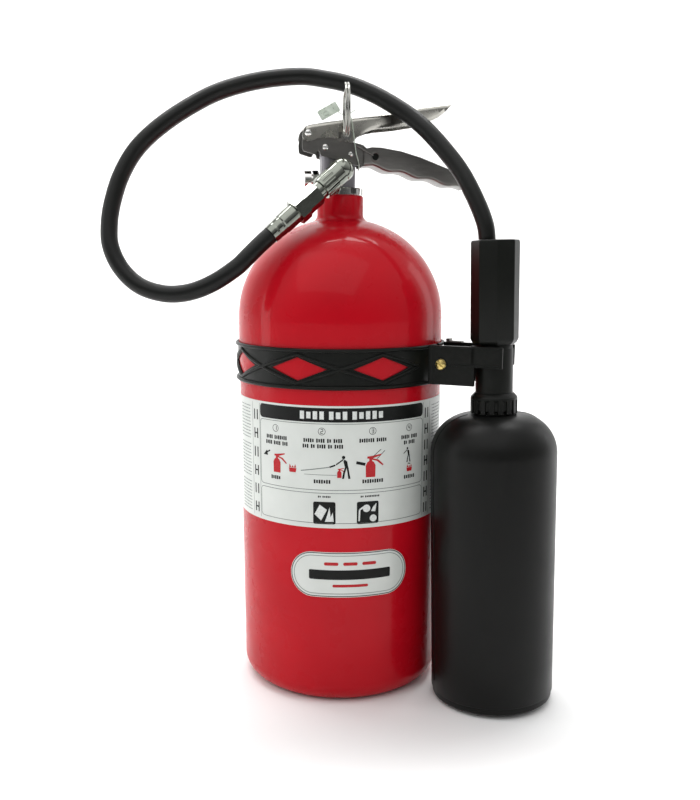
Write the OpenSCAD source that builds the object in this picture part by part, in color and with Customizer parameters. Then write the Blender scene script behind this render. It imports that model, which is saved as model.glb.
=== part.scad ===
/* [Cylinder] */
// Outside radius of the pressure cylinder
cyl_r = 88.9; // [88.5:0.1:89.2]
// Wall thickness of the pressure cylinder
wall = 4.5; // [3:0.5:6]
// Rounding radius between the wall and the flat base
base_round = 17.5; // [12:0.5:20]
// Height at which the straight wall turns into the dome
dome_z = 325; // [324:0.5:326]
// Radius of the dome's arc
dome_r = 84; // [83:0.5:84]
// Outside radius of the neck
neck_r = 19.8; // [19:0.1:20]

/* [Labels] */
// Lower edge of the instruction label
label_low = 158.2; // [150:0.2:165]
// Upper edge of the instruction label
label_high = 260; // [250:0.5:265]
// Thickness of the labels
label_t = 0.3; // [0.2:0.1:0.5]

/* [Valve] */
// Sheet thickness of the handle
plate_t = 1.5; // [1.2:0.1:1.5]
// Sheet thickness of the lever
lever_t = 1.5; // [1.2:0.1:1.5]
// Radius of the pull pin's shank
pin_r = 2; // [1.5:0.1:2]
// Mean radius of the pull pin's ring
ring_r = 20.1; // [18:0.1:20.5]

/* [Hose] */
// Outside diameter of the hose
hose_d = 13.8; // [12:0.2:14]
// Compass angle of the hose coupling about the vertical
outlet_az = 193; // [190:1:196]
// Angle of the hose coupling below the horizontal
outlet_dip = 40; // [38:1:42]

/* [Horn and clip] */
// Compass angle of the horn about the cylinder
horn_az = -36; // [-38:1:-34]
// Distance of the horn's axis from the cylinder's axis at the clip
horn_dist = 141; // [141:0.5:143]
// Lean of the horn, foot outwards
horn_lean = 1.5; // [1:0.1:1.6]
// Outside radius of the horn
horn_r = 52.4; // [50:0.1:52.4]
// Outside radius of the tube that the clip holds
tube_r = 15.35; // [14:0.05:15.4]
// Height of the clip's middle
clip_z = 290; // [289:0.5:291]

/* [Hidden] */
$fn = 64;

// neck, dome and threads
neck_top = 427.5;
fillet = 6;
dome_off = cyl_r - dome_r;
fillet_z = dome_z + sqrt(pow(dome_r + fillet, 2) - pow(neck_r + fillet - dome_off, 2));
dome_end = atan2(fillet_z - dome_z, neck_r + fillet - dome_off);
neck_bore = 12.6;
plug_r = 12.4;
plug_low = 402;
ring_h = 6.5;
body_z = neck_top + ring_h;

// valve body block, its bores, the stem and its chamber
body_half = 11;
flow_r = 3.4;
port_r = 2;
body_left = -16.9;
body_right = 12;
body_top = 468;
stem_x = -7;
stem_r = 2.5;
chamber_r = 5.6;
chamber_low = 438;
gland_low = 456;
gland_r = 6.2;
gland_top = 470;
poppet_low = 451;
poppet_h = 3.7;
seat_h = 1.1;
stem_top = 485.2;
stem_seal_z = 463.2;

// tube from the valve down to the foot of the cylinder
siphon_r = 5;
siphon_bore = 3.6;
siphon_low = 12;
siphon_high = 412;

// lever and handle joints, seen from the side: [x, z]
pivot = [-29.3, 477.1];
pivot_r = 2;
rivets = [[-14.7, 466.3, 2.9], [6.8, 461.2, 2.4]];
rivet_r = 1.5;
pin_at = [-1.2, 473.5];
handle_hole = [28, 459.5];
notch_r = pin_r + 0.7;
notch_top = 478.2;
plate_out = body_half + plate_t;
lever_in = plate_out + 0.3;
lever_out = lever_in + lever_t;

// pull pin's ring
ring_wire = 1.1;
ring_y = -36.5;
ring_z = pin_at[1] - 1.4 + ring_r;
ring_turn = -7;

// relief plug on the left of the body
relief_y = -2;
relief_z = 440.8;
relief_r = 7.5;

// hose coupling, measured along its own axis from the elbow's centre
elbow_at = [-4, -32, 446.5];
barrel_r = 9.4;
collar_end = 29;
nut_end = 44;
hex_end = 54;
neck_end = 63;
ferrule_end = 81.6;

// clip
strap_low = 272.7;
strap_high = 305.7;
strap_r = 90.6;
rail_r = 1.6;
clip_in = tube_r + 0.9;
clip_out = clip_in + 3;
jaw_low = 289;
arm_low = 273.6;
arm_high = 305.9;
screw_x = 101.6;
screw_z = 290.5;
clip_gap = 0.1;

// heights along the horn's own axis, from the clip's middle
grip_low = 16.7;
grip_high = 100.2;
grip_flat = 18.2;
spigot_r = 9;
stub_r = 12;
tube_bore = 5;
hose_entry = [-4.4, -2.2, 43];
collar_low = -38.6;
collar_high = -22;
collar_r = 19.25;
horn_low = -286.5;
horn_high = -40;
shoulder = 33;
horn_wall = 3;

// route of the hose from its ferrule to the grip
HOSE = [[-65.3, -46, 394], [-75, -48, 385.5], [-84, -50, 377], [-94, -51, 368], [-113, -50, 356],
        [-132, -46, 349], [-151, -41, 348], [-170, -34, 354], [-184, -27, 367], [-192, -21, 384],
        [-193, -16, 400], [-190, -11, 419], [-182, -6, 442], [-169, -2, 463], [-150, 1, 481],
        [-125, 4, 498], [-99, 5, 511], [-67, 5, 520], [-34, 4, 524], [-13, 1, 522],
        [5, -4, 518], [20, -10, 512], [34, -18, 504], [53, -30, 490], [66, -42, 476],
        [79, -54, 458], [88, -63, 443], [95, -71, 427], [101, -77, 411], [104, -80, 400],
        [105, -80, 392]];

function arc(cx, cy, r, from, to, n) =
    [for (i = [0:n]) let (a = from + (to - from) * i / n) [cx + r * cos(a), cy + r * sin(a)]];
function unit(v) = v / norm(v);
function clamp_index(i, list) = max(0, min(len(list) - 1, i));
function at(list, i) = list[clamp_index(i, list)];
// a point on the smooth curve through a list of points, t from 0 to 1 after point i
function curve(p, i, t) =
    let (a = at(p, i - 1), b = at(p, i), c = at(p, i + 1), d = at(p, i + 2))
    0.5 * (2 * b + (c - a) * t + (2 * a - 5 * b + 4 * c - d) * t * t
           + (3 * b - a - 3 * c + d) * t * t * t);
function smooth(p, steps) =
    concat([for (i = [0:len(p) - 2], k = [0:steps - 1]) curve(p, i, k / steps)],
           [p[len(p) - 1]]);
function heading(p, i) = unit(at(p, i + 1) - at(p, i - 1));
// side walls and ends of a tube with rings of n points
function tube_faces(rings, n) =
    concat([[for (j = [0:n - 1]) j]],
           [[for (j = [n - 1:-1:0]) (rings - 1) * n + j]],
           [for (i = [0:rings - 2], j = [0:n - 1])
               [i * n + j, (i + 1) * n + j, (i + 1) * n + (j + 1) % n, i * n + (j + 1) % n]]);

// a round tube of radius r swept along the points p; no part of the path runs along `side`
module swept(p, r, n, side) {
    points = [for (i = [0:len(p) - 1])
                 let (t = heading(p, i), u = unit(cross(t, side)), v = cross(t, u))
                 for (j = [0:n - 1]) p[i] + r * (cos(360 * j / n) * u + sin(360 * j / n) * v)];
    polyhedron(points = points, faces = tube_faces(len(p), n));
}

// an outline drawn in x and z, as thick as w across y
module side_plate(outline, w) {
    rotate([90, 0, 0]) linear_extrude(height = w, center = true) polygon(outline);
}

// a rod across the valve, from y = -half to y = half, at the side position p
module cross_rod(p, r, half) {
    translate([p[0], half, p[1]]) rotate([90, 0, 0]) cylinder(r = r, h = 2 * half);
}

module outlet_frame() {
    translate(elbow_at) rotate([0, 0, outlet_az]) rotate([0, 90 + outlet_dip, 0]) children();
}

module clip_frame() {
    rotate([0, 0, horn_az]) children();
}

module horn_frame() {
    clip_frame() translate([horn_dist, 0, clip_z]) rotate([0, -horn_lean, 0]) children();
}

// hexagonal prism across the flats af, standing on z = 0, with its corners turned off
module hex(af, h) {
    intersection() {
        cylinder(d = af / cos(30), h = h, $fn = 6);
        rotate_extrude() polygon([[0, 0], [af * 0.53, 0], [af * 0.585, af * 0.04],
            [af * 0.585, h - af * 0.04], [af * 0.53, h], [0, h]]);
    }
}

module cylinder_shell() {
    inner_end = acos((neck_bore - dome_off) / (dome_r - wall));
    outer = concat([[0, 0]],
        arc(cyl_r - base_round, base_round, base_round, -90, 0, 8),
        arc(dome_off, dome_z, dome_r, 0, dome_end, 20),
        arc(neck_r + fillet, fillet_z, fillet, 180 + dome_end, 180, 5),
        [[neck_r, neck_top], [0, neck_top]]);
    inner = concat([[0, wall]],
        arc(cyl_r - base_round, base_round, base_round - wall, -90, 0, 8),
        arc(dome_off, dome_z, dome_r - wall, 0, inner_end, 20),
        [[0, dome_z + (dome_r - wall) * sin(inner_end)]]);
    color("firebrick") difference() {
        rotate_extrude($fn = 128) polygon(outer);
        rotate_extrude($fn = 128) polygon(inner);
        translate([0, 0, dome_z]) cylinder(r = neck_bore, h = neck_top - dome_z + 1);
    }
}

module instruction_label() {
    label_wrap = 270;
    color("gainsboro") rotate([0, 0, -98 - label_wrap / 2]) rotate_extrude(angle = label_wrap)
        translate([cyl_r, label_low]) square([label_t, label_high - label_low]);
}

module emblem_label() {
    long = 103;
    high = 39.4;
    color("white") intersection() {
        rotate_extrude($fn = 128) translate([cyl_r, 90]) square([label_t, 60]);
        rotate([0, 0, -94.5]) translate([60, 0, 117.7]) rotate([90, 0, 90])
            linear_extrude(height = 40) union() {
                square([long - high, high], center = true);
                for (s = [-1, 1]) translate([s * (long - high) / 2, 0]) circle(d = high);
            }
    }
}

module neck_ring() {
    chamfer = 0.8;
    seal_r = plug_r + 2.45;
    color("silver") difference() {
        rotate_extrude() polygon([[seal_r, neck_top], [neck_r - chamfer, neck_top],
            [neck_r, neck_top + chamfer], [neck_r, body_z - chamfer],
            [neck_r - chamfer, body_z], [seal_r, body_z]]);
        rotate([0, 0, -65]) translate([neck_r - 2.5, -2.8, neck_top + 1.5])
            cube([6, 5.6, ring_h]);
    }
}

module neck_o_ring() {
    color("black") translate([0, 0, neck_top + 1.3]) rotate_extrude()
        translate([plug_r + 1.22, 0]) circle(r = 1.2, $fn = 24);
}

module valve_body() {
    round_r = 6;
    color("darkgray") difference() {
        union() {
            translate([0, 0, plug_low]) cylinder(r = plug_r, h = body_z - plug_low + 1);
            translate([body_left, -body_half + round_r, body_z])
                cube([body_right - body_left, 2 * (body_half - round_r), body_top - body_z]);
            translate([body_left + round_r, -body_half, body_z])
                cube([body_right - body_left - 2 * round_r, 2 * body_half, body_top - body_z]);
            for (x = [body_left + round_r, body_right - round_r], s = [-1, 1])
                translate([x, s * (body_half - round_r), body_z])
                    cylinder(r = round_r, h = body_top - body_z);
        }
        translate([stem_x, 0, chamber_low]) cylinder(r = chamber_r, h = gland_low - chamber_low);
        translate([stem_x, 0, gland_low]) cylinder(r = gland_r, h = body_top);
        translate([0, 0, plug_low - 1]) cylinder(r = siphon_r, h = siphon_high - plug_low + 1);
        translate([0, 0, siphon_high - 1]) cylinder(r = siphon_bore, h = chamber_low + 4 - siphon_high);
        translate([stem_x, 0, chamber_low + 1]) rotate([0, 90, 0]) cylinder(r = port_r, h = 8);
        translate([elbow_at[0], 0, elbow_at[2]]) rotate([90, 0, 0]) cylinder(r = flow_r, h = 20);
        translate([stem_x, relief_y, relief_z]) rotate([0, -90, 0]) cylinder(r = port_r, h = 20);
        for (r = rivets) cross_rod(r, rivet_r, 20);
    }
}

module siphon_tube() {
    color("silver") difference() {
        translate([0, 0, siphon_low]) cylinder(r = siphon_r, h = siphon_high - siphon_low);
        translate([0, 0, siphon_low - 1]) cylinder(r = siphon_bore, h = siphon_high - siphon_low + 2);
        // slanted foot, so that the cylinder's floor can't close the tube
        translate([0, 0, siphon_low]) rotate([0, 40, 0]) translate([-12, -8, -14]) cube([24, 16, 14]);
    }
}

module stem_gland() {
    color("goldenrod") difference() {
        union() {
            translate([stem_x, 0, gland_low]) cylinder(r = gland_r, h = body_top - gland_low);
            translate([stem_x, 0, body_top]) cylinder(r = 5.4, h = gland_top - body_top);
        }
        translate([stem_x, 0, gland_low - 1]) cylinder(r = stem_r + 0.05, h = 20);
        translate([stem_x, 0, stem_seal_z - 1.2]) cylinder(r = stem_r + 1.6, h = 2.4);
    }
}

module stem_o_ring() {
    color("black") translate([stem_x, 0, stem_seal_z]) rotate_extrude()
        translate([stem_r + 0.85, 0]) circle(r = 0.72, $fn = 20);
}

module valve_stem() {
    color("silver") {
        translate([stem_x, 0, poppet_low]) cylinder(r = 4.8, h = poppet_h);
        translate([stem_x, 0, poppet_low]) cylinder(r = stem_r, h = stem_top - poppet_low - 2.5);
        translate([stem_x, 0, stem_top - 2.5]) sphere(r = stem_r);
    }
}

module seat_disc() {
    color("dimgray") translate([stem_x, 0, poppet_low + poppet_h]) difference() {
        cylinder(r = 4.6, h = seat_h);
        translate([0, 0, -1]) cylinder(r = stem_r, h = seat_h + 2);
    }
}

module return_spring() {
    turns = 5;
    wire = 0.5;
    low = chamber_low + wire;
    rise = poppet_low - chamber_low - 2 * wire;
    steps = 70;
    coil = [for (i = [0:steps]) let (a = 360 * turns * i / steps)
        [stem_x + 3.8 * cos(a), 3.8 * sin(a), low + rise * i / steps]];
    color("silver") swept(coil, wire - 0.02, 8, [0, 0, 1]);
}

module relief_plug() {
    color("silver") translate([body_left, relief_y, relief_z]) rotate([0, -90, 0]) difference() {
        union() {
            cylinder(r = 4.5, h = 2.4);
            translate([0, 0, 2.4]) hex(relief_r * 1.78, 5.2);
            translate([0, 0, 7.6]) cylinder(r = 5, h = 1);
        }
        translate([0, 0, -1]) cylinder(r = port_r, h = 11);
    }
}

module burst_disc() {
    color("gold") translate([body_left - 8.6, relief_y, relief_z]) rotate([0, -90, 0])
        cylinder(r = 5, h = 0.4);
}

module relief_nut() {
    slots = 4;
    color("silver") translate([body_left - 9, relief_y, relief_z]) rotate([0, -90, 0])
        difference() {
            cylinder(r = relief_r, h = 5.6);
            translate([0, 0, -1]) cylinder(r = 2.2, h = 4);
            for (i = [0:slots - 1]) rotate([90, 0, 45 + i * 360 / slots])
                translate([0, 2.8, 0]) cylinder(r = 1.1, h = 10);
        }
}

// side view of the handle's sheet: bracket on the left, carrying grip on the right
module handle_outline_plate(w) {
    lug = concat([[6, 471.6], [4.5, 478], [-20, 480.2]],
        arc(pivot[0], pivot[1], 3.6, 75, 165, 6), [[-34.2, 470], [-34, 464.4]]);
    under = [[-33, 463], [-24, 460.4], [-22.4, 461.2], [-20.4, 463.4], [-18.6, 459.6],
        [14.3, 451.8], [15.2, 453.6], [16.4, 451.4], [22, 452.2]];
    grip = concat([for (i = [0:30]) grip_point(i / 30)],
        arc(109.5, 438.6, 3.2, -70, 80, 6));
    top = [[100, 446.2], [90.7, 451.2], [67.6, 459.6], [50, 464.4], [33, 467], [25, 467.2],
        [22.4, 466.6], [20.6, 466.2], [19, 467.4], [17.3, 468.8], [9, 470.8]];
    side_plate(concat(lug, under, grip, top), w);
}

// lower edge of the grip, with three finger waves, t from 0 to 1
function grip_point(t) =
    [26 + 82 * t, 452.4 - 17.2 * t + 1.1 * cos(360 * 3.2 * t) - 1.1];

module carrying_handle() {
    low_edge = [for (i = [0:30]) grip_point(i / 30) + [0, plate_t]];
    hollow = concat([[-50, 440], [17.5, 440], [17.5, 452.6 + plate_t]], low_edge,
        [[110, 437.4 + plate_t], [110, 500], [-50, 500]]);
    color("gray") difference() {
        handle_outline_plate(2 * plate_out);
        side_plate(hollow, 2 * body_half);
        cross_rod(pivot, pivot_r, 20);
        for (r = rivets) cross_rod(r, rivet_r, 20);
        cross_rod(pin_at, pin_r + 0.05, 20);
        translate([handle_hole[0], 0, handle_hole[1]]) rotate([90, 0, 0]) cylinder(r = 2.6, h = 20);
    }
}

// both heads of a rivet at the side position p, with faces at y = -half and half
module rivet_heads(p, r, half) {
    for (s = [-1, 1]) translate([p[0], s * half, p[1]]) rotate([-s * 90, 0, 0])
        rotate_extrude() polygon(concat([[0, 0]], [for (a = [0:15:90]) [r * cos(a), 2 * sin(a)]]));
}

module bracket_rivets() {
    color("silver") for (r = rivets) {
        cross_rod(r, rivet_r, plate_out);
        rivet_heads(r, r[2], plate_out);
    }
}

module lever_pivot_rivet() {
    color("silver") {
        cross_rod(pivot, pivot_r, lever_out + 0.3);
        rivet_heads(pivot, 3, lever_out + 0.3);
    }
}

module operating_lever() {
    top = [[-31.3, 482.7], [-2.3, 488.1], [7.8, 489.6], [27.8, 492.3], [41.1, 494.6],
        [67.4, 499.8], [92.4, 503.4]];
    under = [[91, 499.9], [82.1, 492.2], [77.2, 489.5], [56.5, 485.4], [48.7, 484], [31.5, 482.1],
        [24, 480.6], [18.9, 478.7], [15.2, 476.9], [12.1, 474.8], [10, 472.4], [8.3, 470.5],
        [6.5, 469.8], [-2.3, 472.5], [-10.7, 474], [-21.7, 473.3], [-25, 471.5], [-29, 470.3],
        [-33, 471.5], [-34.3, 474.5], [-33.6, 478]];
    web = [for (p = [for (i = [0:5]) top[i]]) p - [0, lever_t]];
    hollow = concat([[-45, 478.6]], web, [[94, 502.4], [94, 455], [-45, 455]]);
    color("gainsboro") difference() {
        side_plate(concat(top, under), 2 * lever_out);
        side_plate(hollow, 2 * lever_in);
        cross_rod(pivot, pivot_r + 0.05, 20);
        translate([pin_at[0] - notch_r, -20, 455]) cube([2 * notch_r, 40, notch_top - 455]);
        cross_rod([pin_at[0], notch_top], notch_r, 20);
    }
}

module pull_pin() {
    pin_tail = 16.5;
    head_half = 3.4;
    color("silver") difference() {
        union() {
            translate([pin_at[0], pin_tail, pin_at[1]]) rotate([90, 0, 0])
                cylinder(r = pin_r, h = pin_tail - ring_y - 3);
            translate([pin_at[0], ring_y + head_half, pin_at[1] - 0.6]) rotate([90, 0, 0])
                cylinder(r = 3.6, h = 2 * head_half);
        }
        ring_wires(ring_wire + 0.01);
    }
}

// the two turns of the split ring, side by side
module ring_wires(r) {
    translate([pin_at[0], ring_y, ring_z]) rotate([0, 0, ring_turn]) rotate([0, 90, 0])
        for (s = [-1, 1]) translate([0, 0, s * 1.12]) rotate_extrude()
            translate([ring_r, 0]) circle(r = r, $fn = 16);
}

module pin_ring() {
    color("silver") ring_wires(ring_wire);
}

module tamper_seal() {
    strap = [[-4, -10, 495.4], [-1, -10.5, 493], [3, -12.5, 491.8], [6, -15.5, 490.4],
        [7, -16.8, 486], [8, -16.8, 480], [9.4, -16.4, 470], [11, -15.8, 461], [13, -15.4, 454],
        [13.6, -13.4, 449.8], [13.8, -8, 448.2]];
    color("honeydew") {
        translate([-16.5, -8, 488]) rotate([-15, 0, 6]) rotate([0, -29, 0]) cube([18, 0.8, 8.5]);
        swept(smooth(strap, 3), 0.7, 8, [1, 0, 0]);
    }
}

module outlet_elbow() {
    flutes = 16;
    reach = -elbow_at[1] - body_half;
    color("silver") difference() {
        union() {
            translate(elbow_at) rotate([-90, 0, 0]) cylinder(r = 8.6, h = reach);
            translate(elbow_at + [0, reach - 8, 0]) rotate([-90, 0, 0]) cylinder(r = 9.8, h = 6.2);
            translate(elbow_at) sphere(r = barrel_r + 0.3);
            outlet_frame() cylinder(r = barrel_r, h = 24);
            outlet_frame() translate([0, 0, 24]) cylinder(r = 7.6, h = collar_end - 24);
        }
        translate(elbow_at - [0, flow_r, 0]) rotate([-90, 0, 0]) cylinder(r = flow_r, h = 40);
        outlet_frame() cylinder(r = flow_r - 0.6, h = 40);
        outlet_frame() for (i = [0:flutes - 1]) rotate([0, 0, (i + 0.5) * 360 / flutes])
            translate([barrel_r + 0.5, 0, 11]) cylinder(r = 1.1, h = 11, $fn = 16);
    }
}

module swivel_nut() {
    color("silver") outlet_frame() translate([0, 0, collar_end]) difference() {
        hex(17.4, nut_end - collar_end - 0.2);
        translate([0, 0, -1]) cylinder(r = flow_r, h = 20);
    }
}

module hose_adapter() {
    color("silver") outlet_frame() difference() {
        union() {
            translate([0, 0, nut_end]) hex(20, hex_end - nut_end);
            translate([0, 0, hex_end]) cylinder(r = 8.4, h = neck_end - hex_end);
        }
        translate([0, 0, nut_end - 1]) cylinder(r = flow_r, h = 30);
    }
}

module hose_ferrule() {
    color("silver") outlet_frame() translate([0, 0, neck_end]) rotate_extrude()
        polygon([[flow_r, 0], [8.3, 0], [8.3, 5], [7.7, 6], [7.9, 8], [7.5, 12], [7.7, 14],
            [7.3, ferrule_end - neck_end], [flow_r, ferrule_end - neck_end]]);
}

module hose() {
    color("black") swept(smooth(HOSE, 2), hose_d / 2, 12, [0, 1, 0.2]);
}

// cut-out between the strap's crossed ribs, at the compass angle az
module strap_window(az) {
    half_w = 24.5;
    half_h = 9.4;
    rotate([0, 0, az]) translate([80, 0, (strap_low + strap_high) / 2]) rotate([90, 0, 90])
        linear_extrude(height = 20)
            polygon([[-half_w, 0], [0, -half_h], [half_w, 0], [0, half_h]]);
}

module cylinder_band() {
    first = -77.5;
    color("black") difference() {
        union() {
            rotate_extrude($fn = 128) translate([cyl_r, strap_low])
                square([strap_r - cyl_r, strap_high - strap_low]);
            for (z = [strap_low + rail_r, strap_high - rail_r]) rotate_extrude($fn = 128)
                translate([cyl_r, z - rail_r]) square([2 * rail_r, 2 * rail_r]);
        }
        for (k = [0:6]) strap_window(first - 45 * k);
        clip_frame() translate([85, -3, strap_low - 5]) cube([15, 6, 50]);
    }
}

// one arm of the clip, on the side of positive y
module clamp_arm() {
    difference() {
        union() {
            translate([88, clip_in, arm_low]) cube([42, 3, arm_high - arm_low]);
            translate([88, clip_in, jaw_low]) cube([horn_dist + 11 - 88, 3, arm_high - jaw_low]);
            translate([horn_dist, 0, jaw_low]) rotate([0, 0, 90])
                rotate_extrude(angle = 62) translate([clip_in, 0])
                    square([3, arm_high - jaw_low]);
        }
        cylinder(r = strap_r + clip_gap, h = 400, $fn = 128);
        for (z = [strap_low - 1, strap_high - 2 * rail_r - 0.1]) translate([0, 0, z])
            cylinder(r = cyl_r + 2 * rail_r + clip_gap, h = 2 * rail_r + 1.5, $fn = 128);
        translate([screw_x, 0, screw_z]) rotate([-90, 0, 0]) cylinder(r = 2.5, h = 30);
    }
}

module front_clamp_arm() {
    color("black") clip_frame() mirror([0, 1, 0]) {
        clamp_arm();
        translate([110, clip_out, screw_z - 0.6]) cube([horn_dist - 110, 0.6, 1.2]);
    }
}

module rear_clamp_arm() {
    color("black") clip_frame() {
        clamp_arm();
        translate([horn_dist + 8, clip_out - 0.5, screw_z - 1.5]) cube([3, 2.5, 3]);
    }
}

module clamp_tab() {
    color("gray") clip_frame() {
        translate([94.5, clip_in - 4, arm_high]) cube([13.5, 7, 1.2]);
        translate([94.5, clip_in - 4, arm_high + 1.2]) cube([3, 7, 2]);
    }
}

module clamp_screw() {
    color("gold") clip_frame() translate([screw_x, -clip_out, screw_z]) {
        difference() {
            rotate([90, 0, 0]) rotate_extrude()
                polygon([[0, 0], [4.6, 0], [4.6, 1], [3.9, 2.1], [2.2, 2.7], [0, 2.8]]);
            rotate([0, 35, 0]) translate([-6, -4, -0.6]) cube([12, 2.4, 1.2]);
        }
        rotate([-90, 0, 0]) cylinder(r = 2.4, h = 2 * clip_out + 5);
    }
}

module clamp_nut() {
    color("gold") clip_frame() translate([screw_x, clip_out, screw_z]) rotate([-90, 0, 0])
        difference() {
            hex(8, 4);
            translate([0, 0, -1]) cylinder(r = 2.42, h = 6);
        }
}

module horn_grip() {
    grip_r = grip_flat / cos(22.5);
    grip_h = grip_high - grip_low;
    color("black") horn_frame() translate([0, 0, grip_low]) difference() {
        intersection() {
            rotate([0, 0, 22.5]) cylinder(r = grip_r, h = grip_h, $fn = 8);
            rotate_extrude() polygon([[0, 0], [grip_flat - 3, 0], [grip_r + 0.5, 5],
                [grip_r + 0.5, grip_h - 2], [grip_flat, grip_h], [0, grip_h]]);
        }
        translate([0, 0, -1]) cylinder(r = spigot_r, h = 45);
        translate(hose_entry) cylinder(r = 8.6, h = grip_h);
    }
}

module horn_tube() {
    color("black") horn_frame() difference() {
        union() {
            translate([0, 0, collar_high]) cylinder(r = tube_r, h = grip_low - collar_high);
            translate([0, 0, grip_low]) cylinder(r = spigot_r, h = 40);
            translate([0, 0, collar_high - 12]) cylinder(r = stub_r, h = 12);
        }
        translate([0, 0, collar_high - 13]) cylinder(r = tube_bore, h = 100);
    }
}

module horn_collar() {
    lugs = 8;
    color("black") horn_frame() difference() {
        translate([0, 0, collar_low]) rotate_extrude() polygon([[stub_r, -1.4], [collar_r, -1.4],
            [collar_r, 13.4], [collar_r - 3.4, 16.6], [stub_r, 16.6]]);
        for (i = [0:lugs - 1]) rotate([0, 0, (i + 0.5) * 360 / lugs])
            translate([collar_r - 1.4, -2, collar_low + 2]) cube([4, 4, 8]);
    }
}

module discharge_orifice() {
    color("goldenrod") horn_frame() translate([0, 0, collar_high - 22]) difference() {
        union() {
            cylinder(r = 8, h = 10);
            cylinder(r = 11, h = 5);
        }
        translate([0, 0, -1]) cylinder(r = 2.5, h = 12);
    }
}

module horn() {
    outer = concat([[11.2, horn_high], [horn_r - shoulder, horn_high]],
        arc(horn_r - shoulder, horn_high - shoulder, shoulder, 90, 0, 12),
        [[horn_r, horn_low + 6], [horn_r - 1, horn_low + 5], [horn_r - 1, horn_low + 1],
         [horn_r - 2, horn_low]]);
    inner = concat([[horn_r - horn_wall - 0.4, horn_low]],
        arc(horn_r - shoulder, horn_high - shoulder, shoulder - horn_wall, 0, 90, 12),
        [[11.2, horn_high - horn_wall]]);
    color("black") horn_frame() rotate_extrude($fn = 128) polygon(concat(outer, inner));
}

cylinder_shell();
instruction_label();
emblem_label();
neck_ring();
neck_o_ring();
valve_body();
siphon_tube();
stem_gland();
stem_o_ring();
valve_stem();
seat_disc();
return_spring();
relief_plug();
burst_disc();
relief_nut();
carrying_handle();
bracket_rivets();
lever_pivot_rivet();
operating_lever();
pull_pin();
pin_ring();
tamper_seal();
outlet_elbow();
swivel_nut();
hose_adapter();
hose_ferrule();
hose();
cylinder_band();
front_clamp_arm();
rear_clamp_arm();
clamp_tab();
clamp_screw();
clamp_nut();
horn_grip();
horn_tube();
horn_collar();
discharge_orifice();
horn();
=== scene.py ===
import math

import bmesh
import bpy
from mathutils import Matrix, Vector


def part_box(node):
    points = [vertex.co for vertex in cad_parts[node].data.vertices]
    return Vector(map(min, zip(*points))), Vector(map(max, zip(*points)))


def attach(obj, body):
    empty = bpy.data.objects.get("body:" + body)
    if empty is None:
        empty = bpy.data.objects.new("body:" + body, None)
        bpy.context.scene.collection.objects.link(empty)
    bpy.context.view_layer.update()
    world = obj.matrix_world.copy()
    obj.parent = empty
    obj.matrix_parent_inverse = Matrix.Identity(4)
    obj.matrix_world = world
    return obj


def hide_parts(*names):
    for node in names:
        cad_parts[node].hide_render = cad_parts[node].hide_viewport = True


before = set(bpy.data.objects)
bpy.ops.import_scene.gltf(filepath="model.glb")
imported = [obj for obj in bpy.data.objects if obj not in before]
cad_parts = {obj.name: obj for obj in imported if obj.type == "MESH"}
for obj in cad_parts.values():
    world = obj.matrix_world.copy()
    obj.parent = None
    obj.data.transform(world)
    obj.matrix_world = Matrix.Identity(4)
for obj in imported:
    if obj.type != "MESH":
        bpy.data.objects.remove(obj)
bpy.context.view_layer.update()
MM = 0.001


# ------------------------------ camera

def make_camera():
    """The photograph's view: 0.8 m in front, a little above the clip, looking 12 degrees down."""
    turn, down = math.radians(10), math.radians(12.1)
    data = bpy.data.cameras.new("camera")
    data.sensor_width = 36
    data.lens = 40.95
    data.shift_x = 0.0122
    data.shift_y = 0.0688
    camera = bpy.data.objects.new("camera", data)
    camera.location = (-0.1405, -0.7971, 0.3745)
    camera.rotation_euler = (math.pi / 2 - down, 0, -turn)
    bpy.context.scene.collection.objects.link(camera)
    bpy.context.scene.camera = camera


make_camera()


# ------------------------------ mesh helpers

def mesh_object(name, verts, faces, sharp=40):
    """A new mesh object from points in metres, smooth except at edges sharper than `sharp` degrees."""
    mesh = bpy.data.meshes.new(name)
    mesh.from_pydata([tuple(v) for v in verts], [], faces)
    mesh.validate()
    mesh.update()
    bm = bmesh.new()
    bm.from_mesh(mesh)
    bmesh.ops.recalc_face_normals(bm, faces=bm.faces)
    bm.to_mesh(mesh)
    bm.free()
    mesh.shade_smooth()
    mesh.set_sharp_from_angle(angle=math.radians(sharp))
    obj = bpy.data.objects.new(name, mesh)
    bpy.context.scene.collection.objects.link(obj)
    return obj


def join_parts(name, parts, sharp=40):
    """One mesh object from several (verts, faces) pairs."""
    verts, faces = [], []
    for part_verts, part_faces in parts:
        base = len(verts)
        verts.extend(part_verts)
        faces.extend([tuple(i + base for i in f) for f in part_faces])
    return mesh_object(name, verts, faces, sharp)


def bevelled(obj, width, segments=2, angle=35):
    """Rounds the piece's edges by `width` metres."""
    modifier = obj.modifiers.new("bevel", "BEVEL")
    modifier.width = width
    modifier.segments = segments
    modifier.limit_method = "ANGLE"
    modifier.angle_limit = math.radians(angle)
    modifier.harden_normals = True
    return obj


def placed(part, matrix):
    """The same part, moved by a matrix."""
    return [matrix @ Vector(v) for v in part[0]], part[1]


def arc_points(cx, cy, r, start, end, steps):
    """Points of a round stretch of an outline, angles in degrees."""
    found = []
    for i in range(steps + 1):
        a = math.radians(start + (end - start) * i / steps)
        found.append((cx + r * math.cos(a), cy + r * math.sin(a)))
    return found


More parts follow.
